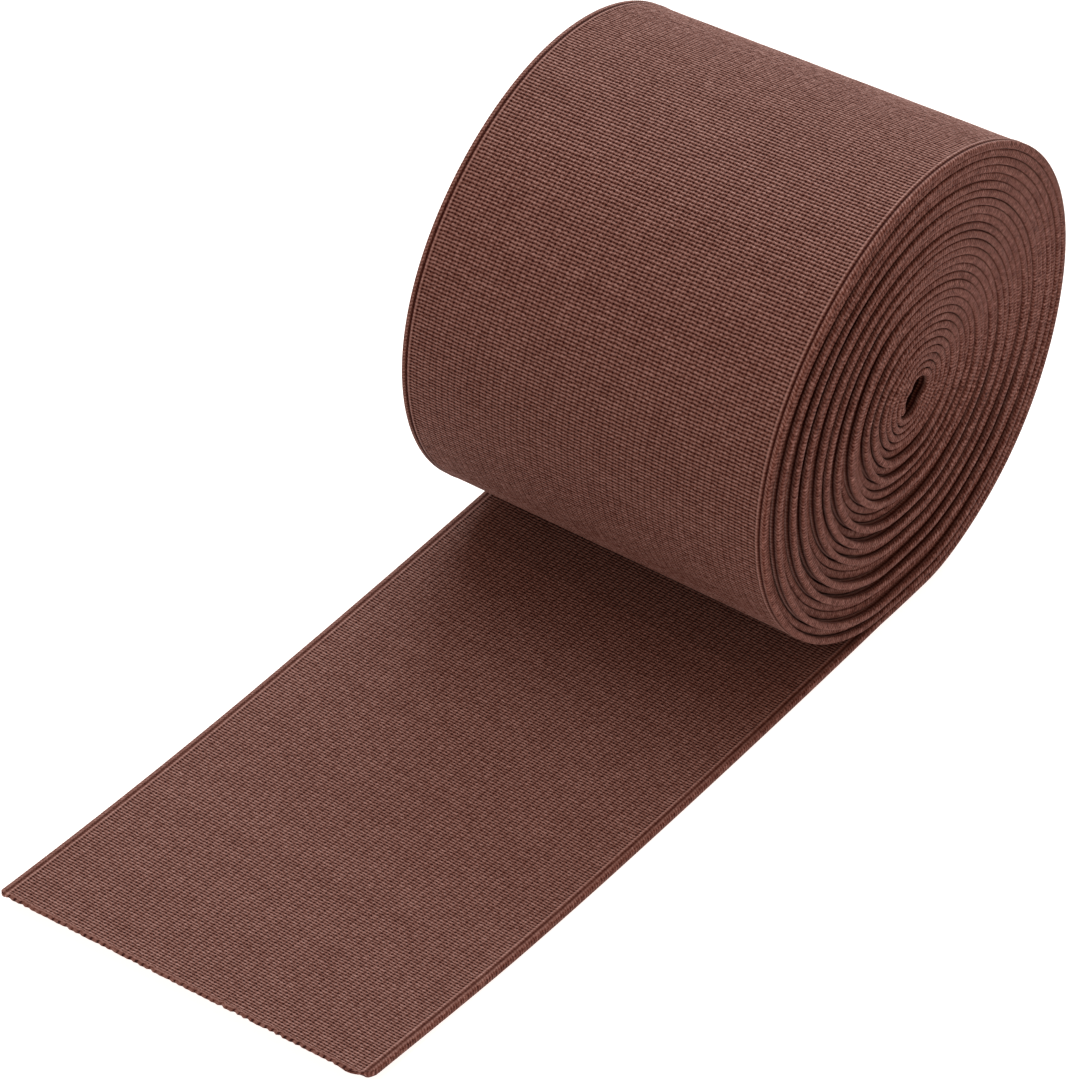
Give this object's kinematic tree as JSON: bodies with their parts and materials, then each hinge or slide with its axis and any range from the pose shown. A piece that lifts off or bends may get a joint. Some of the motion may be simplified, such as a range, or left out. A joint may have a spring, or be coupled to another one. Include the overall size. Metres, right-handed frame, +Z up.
{
  "type": "roll of elastic",
  "caption": "Roll of wide woven brown elastic, wound without a core, its loose end lying flat in front.",
  "frame": {"origin": "middle of the footprint, on the surface that the roll lies on", "axes": "+X along the roll's axis, across the strip; +Y from the loose end's cut towards the roll; +Z up"},
  "size_m": [0.0774, 0.2004, 0.0899],
  "materials": {
    "elastic": "matt woven polyester over rubber, in close cross ribs, with a rounded selvedge"
  },
  "bodies": {
    "root": {"roll": "elastic", "loose_end": "elastic"}
  },
  "joints": []
}
